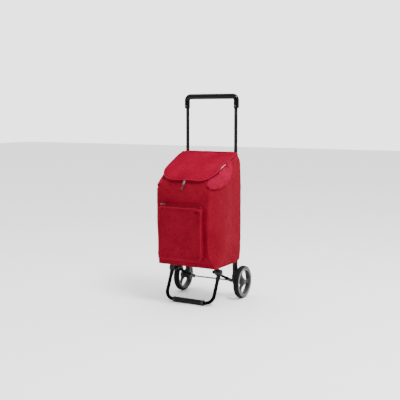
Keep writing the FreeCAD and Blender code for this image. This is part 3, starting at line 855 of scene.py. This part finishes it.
def make_flap_lining_glint_edge():
    """A turned-up stretch of the right edge that shows the pale coated underside, and its tie; the pale strip
    also paints the highlight where the lifted edge catches the light.
    """
    bm = bmesh.new()
    rows = []
    for k in range(25):
        y = -0.086 + 0.056 * k / 24
        width = 0.0005 + 0.0008 * math.sin(math.pi * k / 24)
        base = flap_surface(flap_half(y), y, 0.0)
        row = []
        for c in range(7):
            turn = math.pi * (0.15 + 0.75 * c / 6)
            out = Vector((math.cos(turn), 0, math.sin(turn))) * width
            row.append(base + Vector((0.0012, 0, -0.0012)) + Vector((out.x * 0.8, 0, out.z * 0.9)))
        rows.append(row)
    grid(bm, rows)
    piece("flap_turned_lining_glint", bm, "flap", "lining_and_glint", "bag_fabric", angle=60, thickness=0.0006, offset=0)
    bm = bmesh.new()
    centre = flap_surface(flap_half(-0.024), -0.024, 0.0) + Vector((0.003, 0, 0.001))
    knot = []
    for a in round_angles(72):
        ring = 0.0034 + 0.0016 * math.cos(3 * a)
        swing = 0.0016 * math.sin(3 * a)
        knot.append(centre + Vector((swing, ring * math.cos(2 * a), ring * math.sin(2 * a))))
    tube(bm, knot, 0.0011, 8, closed=True)
    for lean in (-1, 1):
        tail = [
            centre + Vector((0.0015 + 0.001 * t, lean * 0.0045 * t, -0.0024 * t - 0.002 * t * t))
            for t in (0, 0.5, 1, 1.5, 2.1, 2.8)
        ]
        tube(bm, tail, 0.0010, 8)
    piece("flap_tie_knot", bm, "flap", "piping", "bag_fabric")


def make_flap_hinge():
    """The sewn strip between the bag's back and the flap's back edge."""
    back = FLAP_HIGH[1]
    top = BAG_HIGH[2]
    seam = flap_under(back - 0.012) + 0.0034
    half = FLAP_BACK_HALF - 0.004
    rows = []
    for k in range(17):
        t = k / 16
        y = BAG_BACK + 0.0003 - (BAG_BACK - back + 0.012) * smooth(0.35, 1.0, t)
        z = (top - 0.022) + (seam - top + 0.022) * smooth(0.0, 0.75, t)
        row = []
        for c in range(61):
            x = -half + 2 * half * c / 60
            row.append((x, y, z - 0.0055 * smooth(0.10, 0.14, abs(x))))
        rows.append(row)
    bm = bmesh.new()
    grid(bm, rows)
    strip = finish_mesh("flap_back_seam", bm, 60)
    thicken(strip, thickness=0.0012, offset=0)
    dress(strip, "flap")
    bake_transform(strip)


# ---- pocket and zip
POCKET_HALF = POCKET_HIGH[0]
POCKET_FRONT = POCKET_LOW[1]
POCKET_FOOT = POCKET_LOW[2]
POCKET_BROW = 0.440
POCKET_TOP = 0.4565
POCKET_SHIFT = -0.007
# depth where its walls start inside the bag, and the depth of its rounded front edge
POCKET_ROOT = -0.138
POCKET_ROUND = 0.006


def pocket_outline(half, foot, head, corner):
    """Rounded rectangle of (x, z) points, from the lower right corner round to the left."""
    arcs = []
    for side, level, start in ((1, foot, -90), (1, head, 0), (-1, head, 90), (-1, foot, 180)):
        x = side * (half - corner)
        z = level + corner if level == foot else level - corner
        turns = [math.radians(start + 15 * k) for k in range(7)]
        arcs.append([(x + corner * math.cos(a), z + corner * math.sin(a)) for a in turns])
    points = []
    for arc, following in zip(arcs, arcs[1:] + arcs[:1]):
        (x0, z0), (x1, z1) = arc[-1], following[0]
        points += arc + [(x0 + (x1 - x0) * k / 40, z0 + (z1 - z0) * k / 40) for k in range(1, 40)]
    return points


def pocket_ring(depth, inset, swell=0.0):
    """The pocket's outline at one depth; inset shrinks it and swell pushes it forward."""
    rise = min(max((depth - POCKET_FRONT) / 0.034, 0.0), 1.0)
    head = POCKET_BROW + (POCKET_TOP - POCKET_BROW) * rise - inset
    corner = max(0.016 - 0.5 * inset, 0.002)
    ring = []
    for x, z in pocket_outline(POCKET_HALF - inset, POCKET_FOOT + inset, head, corner):
        crumple = bump(0.0, 0.036, math.hypot(x - POCKET_HALF + 0.014, z - POCKET_BROW + 0.006))
        folds = math.sin((x + z) * 520 + 2 * math.sin(x * 300)) * crumple * 0.0040
        soft = 0.0016 * turbulence((x, 0.2, z), 0.04, 4.0) + 0.0005 * turbulence((x, 0.1, z), 0.012, 8.0)
        ring.append(Vector((x + POCKET_SHIFT, depth - swell + soft + folds, z)))
    return ring


def make_pocket():
    """The pocket: its walls, the rounded edge and the slack front."""
    bm = bmesh.new()
    rows = []
    for k in range(13):
        t = k / 12
        depth = POCKET_ROOT + (POCKET_FRONT + POCKET_ROUND - POCKET_ROOT) * t
        rows.append(pocket_ring(depth, 0.0025 * math.sin(math.pi * t)))
    for k in range(1, 6):
        a = math.pi / 2 * k / 5
        rows.append(pocket_ring(POCKET_FRONT + POCKET_ROUND - 0.005 * math.sin(a), 0.005 * (1 - math.cos(a))))
    for k in range(1, 25):
        t = k / 24
        inset = 0.005 + (POCKET_HALF - 0.007) * t
        swell = -0.0008 + 0.0034 * math.sin(math.pi / 2 * t) - 0.0018 * bump(0.06, 0.06, t)
        rows.append(pocket_ring(POCKET_FRONT + 0.001, inset, swell))
    rows.append([Vector((0, p.y, p.z)) for p in rows[-1]])
    grid(bm, rows, close_rows=True)
    bmesh.ops.remove_doubles(bm, verts=bm.verts, dist=2e-4)
    piece("pocket_pouch", bm, "frame", "bag", "bag_fabric", "front_pocket", angle=60)


def make_pocket_trim():
    """Piping round the pocket's front edge, and its seam stitching."""
    edge = pocket_ring(POCKET_FRONT + 0.003, 0.0012)
    bm = bmesh.new()
    tube(bm, edge, 0.0014, 8, closed=True)
    piece("pocket_piping", bm, "frame", "piping", "bag_fabric")
    back = pocket_ring(-0.1455, 0.0)
    lower = [p for p in back if p.z < POCKET_BROW - 0.02]
    start = max(range(len(lower)), key=lambda i: (lower[i] - lower[i - 1]).length)
    lower = lower[start:] + lower[:start]
    run = []
    for p in lower:
        out = Vector((p.x, 0, p.z - 0.33)).normalized()
        run.append((p + out * 0.0002 - Vector((0, 0.010, 0)), out))
    ring = pocket_ring(POCKET_FRONT + 0.0006, 0.0085)
    face = [(p, Vector((0, -1, 0))) for p in ring + ring[:1]]
    stitches("pocket_seam_stitching", [run, face], "frame", "thread", "bag_fabric")


def zip_frame():
    """Middle of the zip, the way across it to the back, and its normal."""
    across = Vector((0, 2, 1)).normalized()
    normal = Vector((0, -across.z, across.y))
    middle = Vector((0, (ZIP_LOW[1] + ZIP_HIGH[1]) / 2, (ZIP_LOW[2] + ZIP_HIGH[2]) / 2))
    return middle - normal * 0.0002, across, normal


def make_zip():
    """Woven tape, nylon coil and end stops along the pocket's sloping top."""
    middle, across, normal = zip_frame()
    half = ZIP_HIGH[0]
    bm = bmesh.new()
    for side in (-1, 1):
        rows = []
        for k in range(61):
            x = -half + 2 * half * k / 60
            ripple = 0.0003 * math.sin(x * 260 + side) + 0.0002 * turbulence((x, side, 0), 0.02, 1.0)
            row = []
            for c in range(6):
                away = side * (0.0012 + 0.0095 * c / 5)
                row.append(Vector((x, 0, 0)) + middle + across * away + normal * (ripple * c / 5 + 0.0002))
            rows.append(row)
        grid(bm, rows)
    piece(
        "zip_tapes", bm, "frame", "zip_tape", "zip_fabric", "pocket_zip_tape",
        angle=60, thickness=0.0008, offset=0,
    )
    bm = bmesh.new()
    pitch = 0.0021
    margin = 0.006
    count = int(2 * (half - margin) / pitch)
    for side in (-1, 1):
        for k in range(count):
            x = -half + margin + pitch * (k + (0.5 if side > 0 else 0.0))
            arc = []
            for c in range(5):
                turn = math.pi * c / 4
                sweep = across * side * (0.0021 - 0.0019 * math.sin(turn))
                sweep += normal * (0.0005 * math.cos(turn) + 0.0007)
                arc.append(Vector((x + 0.0004 * math.cos(turn), 0, 0)) + middle + sweep)
            tube(bm, arc, 0.00042, 5)
    piece("zip_coil", bm, "frame", "coil", "zip_fabric")
    bm = bmesh.new()
    for end in (-1, 1):
        at = middle + Vector((end * (half - 0.0018), 0, 0)) + normal * 0.0005
        soft_box(bm, at - Vector((0.0012, 0.0026, 0.0010)), at + Vector((0.0012, 0.0026, 0.0003)), 0.0003)
    piece("zip_end_stops", bm, "frame", "nickel", "hook_metal")


def in_slope(points, origin):
    """Local (x, across, up) points as places on the zip's slope."""
    _, across, normal = zip_frame()
    return [origin + Vector((x, 0, 0)) + across * a + normal * u for x, a, u in points]


def prism(bm, outline, low, high, frame_at):
    """Solid with an (x, across) outline between two heights, rounded a little."""
    rings = []
    for height, shrink in ((low, 0.9), (low + 0.0003, 1.0), (high - 0.0004, 1.0), (high, 0.86)):
        rings.append(in_slope([(x * shrink, a * shrink, height) for x, a in outline], frame_at))
    made = grid(bm, rings, close_rows=True)
    bm.faces.new(made[0])
    bm.faces.new(made[-1])


def make_zip_slider():
    low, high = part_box("zip_slider")
    middle, _, normal = zip_frame()
    centre = Vector(((low[0] + high[0]) / 2, middle.y, middle.z)) + normal * 0.0012
    bm = bmesh.new()
    outline = []
    for a in round_angles(28):
        taper = 0.0040 + 0.0006 * math.cos(a)
        outline.append((0.0052 * math.cos(a), taper * math.sin(a)))
    prism(bm, outline, 0.0006, 0.0020, centre)
    bridge = [
        (-0.0036, 0, 0.0016), (-0.0030, 0, 0.0036), (0, 0, 0.0042),
        (0.0028, 0, 0.0036), (0.0034, 0, 0.0016),
    ]
    tube(bm, in_slope(bridge, centre), 0.0008, 8)
    piece("slider_body", bm, "zip_slider", "gunmetal", "hook_metal", "zip_slider")
    pull_low, pull_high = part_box("zip_pull")
    far = pull_low[0]
    near = pull_high[0]
    bm = bmesh.new()
    eye = [(0.0015 * math.cos(a), 0.0018 * math.sin(a), 0.0018) for a in round_angles(24)]
    at = Vector((near, centre.y, centre.z))
    tube(bm, in_slope(eye, at), 0.0005, 8, closed=True)
    length = near - far
    loop = []
    for a in round_angles(40):
        stretch = (length / 2 - 0.0016) * (1 if math.cos(a) > 0 else -1) * abs(math.cos(a)) ** 0.6
        loop.append((stretch, 0.0026 * math.sin(a) * (1.1 - 0.15 * math.cos(a)), 0.0020))
    tube(bm, in_slope(loop, Vector(((near + far) / 2, centre.y, centre.z))), 0.0008, 8, closed=True)
    plate = [(x * 0.55, a * 0.55) for x, a, _ in loop]
    prism(bm, plate, 0.0015, 0.0025, Vector(((near + far) / 2 - 0.002, centre.y, centre.z)))
    piece("pull_tab", bm, "zip_pull", "nickel", "hook_metal", "zip_pull")


# ---- closure strap and hook
def hanging_frame():
    """Top of the closure strap, the way it hangs, and the way across it."""
    joint = [j for j in frame["joints"] if j["name"] == "closure_swing"][0]
    low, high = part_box("snap_hook")
    top = Vector(joint["pos_m"])
    foot = Vector((low[0] + 0.0045, (low[1] + high[1]) / 2, low[2] + 0.002))
    down = (foot - top).normalized()
    across = down.cross(Vector((0, 1, 0))).normalized()
    return top, down, across


def make_closure():
    top, down, across = hanging_frame()
    out = Vector((0, -1, 0))
    bm = bmesh.new()
    rows = []
    for k in range(33):
        t = k / 32
        turn = 2 * math.pi * t
        along = 0.0085 - 0.0085 * math.cos(turn)
        off = 0.0011 * math.sin(turn)
        centre = top + down * along + out * off
        rows.append([centre + across * (0.0038 * s / 3) for s in range(-3, 4)])
    grid(bm, rows)
    piece(
        "closure_webbing", bm, "closure", "strap", "strap_fabric", "closure_strap",
        angle=60, thickness=0.0007, offset=0,
    )
    runs = []
    for level in (0.0055, 0.0115):
        runs.append([(top + down * level + across * x * 0.0010 + out * 0.0016, out) for x in range(-4, 5)])
    stitches("closure_bar_tacks", runs, "closure", "strap", "strap_fabric", 0.0014, 0.0011, 0.0003)
    bm = bmesh.new()
    ring_centre = top + down * 0.0188
    ring = []
    for a in round_angles(36):
        drop = 0.0012 if math.sin(a) < 0 else 0.0030
        ring.append(ring_centre + across * 0.0050 * math.cos(a) + down * drop * math.sin(a))
    tube(bm, ring, 0.0009, 8, closed=True)
    neck = [ring_centre + down * (0.002 + 0.0014 * k) for k in range(5)]
    tube(bm, neck, lambda t: 0.0016 + 0.0010 * math.sin(math.pi * t), 12)
    hook_top = ring_centre + down * 0.0076
    path = []
    for k in range(6):
        path.append(hook_top + down * 0.0021 * k + across * 0.0026 * (1 - math.cos(k / 5 * math.pi / 2)))
    bend_centre = hook_top + down * 0.0112
    for k in range(1, 15):
        a = math.pi * 1.12 * k / 14
        path.append(bend_centre + across * 0.0030 * math.cos(a) + down * 0.0046 * math.sin(a))
    tube(bm, path, lambda t: 0.0020 - 0.0005 * t, 12)
    gate = [hook_top + down * (0.0010 + 0.0020 * k) - across * (0.0012 + 0.0004 * k) for k in range(6)]
    tube(bm, gate, 0.0008, 8)
    piece("hook_casting", bm, "closure", "zamak", "hook_metal", "snap_hook")


# ---- wheels
def make_wheel(label, side):
    low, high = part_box("tyre_" + label)
    axle = Vector((0, (low[1] + high[1]) / 2, (low[2] + high[2]) / 2))
    inner, outer = (low[0], high[0]) if side > 0 else (high[0], low[0])
    width = (outer - inner) * side
    tread = high[2] - axle.z
    seat = tread - 0.012
    shoulder = 0.0062
    grooves = 3

    def profile(points):
        return [(inner + side * x, r) for x, r in points]

    flank = [
        (0.0, tread - 0.0065), (0.0003, tread - 0.0048), (0.0014, tread - 0.0028),
        (0.0034, tread - 0.0012), (shoulder, tread - 0.0004),
    ]
    shape = [(0.0, seat)] + flank
    gap = (width - 2 * shoulder) / grooves
    for g in range(grooves):
        start = shoulder + g * gap
        middle = start + gap / 2
        shape += [(middle - 0.0013, tread), (middle - 0.0007, tread - 0.0014)]
        shape += [(middle + 0.0007, tread - 0.0014), (middle + 0.0013, tread)]
    shape += [(width - x, radius) for x, radius in reversed(flank)]
    shape += [(width + 0.0004, tread - 0.0085), (width + 0.0004, tread - 0.0095)]
    shape += [(width, tread - 0.0105), (width, seat)]
    bm = bmesh.new()
    lathe_x(bm, profile(shape), axle, 144)
    piece(
        "tyre_tread_" + label, bm, "wheel_" + label, "tyre", "tyre_rubber", "tyre_" + label,
        angle=30, squash=False,
    )
    boss_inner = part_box("hub_" + label)[0 if side > 0 else 1][0]
    bm = bmesh.new()
    rim = [
        (0.0006, seat), (0.0006, seat - 0.0050), (0.0012, seat - 0.0062), (0.0026, seat - 0.0068),
        (0.0075, seat - 0.0088), (0.0085, seat - 0.0092), (width - 0.0085, seat - 0.0092),
        (width - 0.0075, seat - 0.0088), (width - 0.0040, seat - 0.0076), (width - 0.0018, seat - 0.0070),
        (width - 0.0004, seat - 0.0060), (width - 0.0001, seat - 0.0048), (width - 0.0001, seat),
    ]
    lathe_x(bm, profile(rim), axle, 144)
    boss = [
        (boss_inner, 0.0041), (boss_inner, 0.0118), (boss_inner + side * 0.0010, 0.0128),
        (inner + side * 0.0060, 0.0138), (outer - side * 0.0062, 0.0142), (outer - side * 0.0030, 0.0136),
        (outer - side * 0.0026, 0.0122), (outer - side * 0.0026, 0.0041),
    ]
    lathe_x(bm, boss, axle, 72)
    for k in range(3):
        turn = math.radians(-6 + 120 * k)
        along = Vector((0, math.cos(turn), math.sin(turn)))
        aside = Vector((0, -math.sin(turn), math.cos(turn)))
        rows = []
        reach = seat - 0.0080
        steps = 18
        for i in range(steps + 1):
            t = i / steps
            r = 0.0095 + (reach - 0.0095) * t
            half = 0.0074 + 0.0052 * (1 - smooth(0.0, 0.35, t)) + 0.0062 * smooth(0.70, 1.0, t)
            face = outer - side * (0.0046 + 0.0030 * math.sin(math.pi * min(1, t * 1.1)))
            rear = inner + side * (0.0060 + 0.0016 * math.sin(math.pi * t))
            rib = side * 0.0016
            ridge = [
                (rear, 0.62), (rear + side * 0.0012, 0.90), (face - side * 0.0030, 1.0),
                (face - side * 0.0008, 0.92), (face, 0.76), (face - rib, 0.58),
            ]
            section = [(x, -half * part) for x, part in ridge]
            section += [(x, half * part) for x, part in reversed(ridge)]
            rows.append([axle + along * r + aside * a + Vector((x, 0, 0)) for x, a in section])
        made = grid(bm, rows, close_rows=True)
        bm.faces.new(made[0])
        bm.faces.new(made[-1])
    piece(
        "wheel_centre_" + label, bm, "wheel_" + label, "hub", "hub_plastic", "hub_" + label,
        angle=35, squash=False,
    )
    # thin light grey rings on the tyre's sidewall ridge and the rim lip: painted highlights
    bm = bmesh.new()
    for x, radius, thick in ((0.0004, tread - 0.0090, 0.0009), (-0.0001, seat - 0.0052, 0.0007)):
        tube(bm, circle_x(outer + side * x, axle, radius, 120), thick, 8, closed=True)
    piece("wheel_highlight_rings_" + label, bm, "wheel_" + label, "ring", "hub_plastic", squash=False)
    cap_low, cap_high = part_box("hub_cap_" + label)
    cap_out = cap_high[0] if side > 0 else cap_low[0]
    cap = [(outer - side * 0.0028, 0.0), (outer - side * 0.0028, 0.0120), (outer - side * 0.0018, 0.0121)]
    for k in range(1, 9):
        a = math.pi / 2 * k / 8
        x = outer - side * 0.0018 + (cap_out - outer + side * 0.0018) * math.sin(a)
        cap.append((x, 0.0030 + 0.0090 * math.cos(a)))
    cap += [(cap_out - side * 0.0006, 0.0024), (cap_out - side * 0.0006, 0.0)]
    bm = bmesh.new()
    lathe_x(bm, cap, axle, 72)
    piece(
        "wheel_cap_" + label, bm, "wheel_" + label, "cap", "cap_plastic", "hub_cap_" + label,
        angle=50, squash=False,
    )


# ---- foot sleeve
def make_foot_sleeve():
    low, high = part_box("foot_sleeve")
    axis = Vector((0, (low[1] + high[1]) / 2, (low[2] + high[2]) / 2))
    radius = high[2] - axis.z
    bore = 0.0081
    chamfer = 0.0008
    margin = 0.006
    count = 11
    shape = [(low[0], bore), (low[0], radius - chamfer), (low[0] + chamfer, radius)]
    pitch = (high[0] - low[0] - 2 * margin) / count
    for k in range(count):
        x = low[0] + margin + pitch * (k + 0.5)
        shape += [(x - 0.0014, radius), (x - 0.0008, radius - 0.0007)]
        shape += [(x + 0.0008, radius - 0.0007), (x + 0.0014, radius)]
    shape += [(high[0] - chamfer, radius), (high[0], radius - chamfer), (high[0], bore)]
    bm = bmesh.new()
    lathe_x(bm, shape, axis, 64)
    piece(
        "foot_ribbed_sleeve", bm, "leg", "bracket", "bracket_plastic", "foot_sleeve",
        angle=35, squash=False,
    )


# ---- carried-over CAD nodes
CAD_FINISH = {
    "frame": ("upright_left", "upright_right", "crossbar_lower", "crossbar_upper", "platform_frame",
              "leg_tube", "strut_left", "strut_right"),
    "grip": ("handle_grip",),
    "bracket": ("axle_bracket_left", "axle_bracket_right", "leg_bracket_left", "leg_bracket_right",
                "leg_knuckle_left", "leg_knuckle_right", "foot_pad_left", "foot_pad_right",
                "strut_hook_left", "strut_hook_right"),
    "screw": ("grip_screws", "bracket_screws", "pivot_bolts"),
    "steel": ("axle_rod", "axle_washers", "axle_push_nuts", "platform_pins", "board_rivets"),
    "board": ("base_board",),
    "webbing": ("back_loops",),
}
BEVELS = {"bracket": 0.0009, "screw": 0.0006, "steel": 0.0003, "board": 0.0007, "grip": 0.0008}


def dress_cad():
    for key, names in CAD_FINISH.items():
        for name in names:
            obj = NODES[name]
            obj.data.materials.clear()
            obj.data.materials.append(MATERIAL[key])
            if key in BEVELS:
                bevel = obj.modifiers.new("bevel", "BEVEL")
                bevel.width = BEVELS[key]
                bevel.segments = 2
                bevel.limit_method = "ANGLE"
                bevel.angle_limit = math.radians(35)


# ---- stage
def area_light(name, at, aim, size, power):
    light = bpy.data.lights.new(name, "AREA")
    light.shape = "RECTANGLE"
    light.size, light.size_y = size
    light.energy = power
    obj = link(name, light)
    obj.location = at
    obj.rotation_euler = (Vector(aim) - Vector(at)).to_track_quat("-Z", "Y").to_euler()


def make_stage():
    bm = bmesh.new()
    bmesh.ops.create_grid(bm, x_segments=2, y_segments=2, size=14)
    floor = finish_mesh("stage_floor", bm, flat=True)
    s = Shader("stage_paper")
    s.colour(s.mix(s.noise(1.5), (0.93, 0.93, 0.93), (0.96, 0.96, 0.96)))
    s.set(Roughness=0.9)
    floor.data.materials.append(s.material)
    make_world()
    middle = (0, 0, 0.45)
    area_light("key_light", (1.9, -0.75, 3.3), middle, (1.2, 1.2), 190)
    area_light("strip_light", (-0.6, -3.2, 2.2), (0, 0, 0.8), (0.9, 0.22), 7)


def make_world():
    """A bright backdrop that fades to a dim room behind the eye."""
    world = bpy.data.worlds.new("stage_world")
    world.use_nodes = True
    nodes, links = world.node_tree.nodes, world.node_tree.links
    place_at = nodes.new("ShaderNodeTexCoord").outputs["Generated"]
    facing = nodes.new("ShaderNodeVectorMath")
    facing.operation = "DOT_PRODUCT"
    facing.inputs[1].default_value = (-0.48, 0.83, 0.28)
    fade = nodes.new("ShaderNodeMapRange")
    fade.interpolation_type = "SMOOTHSTEP"
    for name, value in (("From Min", -0.9), ("From Max", 0.95), ("To Min", 0.22), ("To Max", 2.9)):
        fade.inputs[name].default_value = value
    links.new(place_at, facing.inputs[0])
    links.new(facing.outputs["Value"], fade.inputs["Value"])
    background = nodes["Background"]
    background.inputs["Color"].default_value = (1, 1, 1, 1)
    links.new(fade.outputs["Result"], background.inputs["Strength"])
    bpy.context.scene.world = world


EYE_DOWN = 6.64
EYE_TURN = 30.03


def make_camera():
    """The eye stands right of the front, a little above the bag, and looks slightly down."""
    data = bpy.data.cameras.new("camera")
    data.sensor_width = 36.0
    data.lens = 67.27
    camera = link("camera", data)
    camera.location = (1.6907, -2.9328, 0.8524)
    camera.rotation_euler = (math.radians(90 - EYE_DOWN), 0, math.radians(EYE_TURN))
    bpy.context.scene.camera = camera


make_camera()
make_stage()
dress_cad()
make_bag_body()
make_bag_floor()
make_bag_trim()
make_ear("side_ear_right", 1)
make_ear("side_ear_left", -1)
make_flap()
make_flap_lining_glint_edge()
make_flap_hinge()
make_pocket()
make_pocket_trim()
make_zip()
make_zip_slider()
make_closure()
make_wheel("left", -1)
make_wheel("right", 1)
make_foot_sleeve()
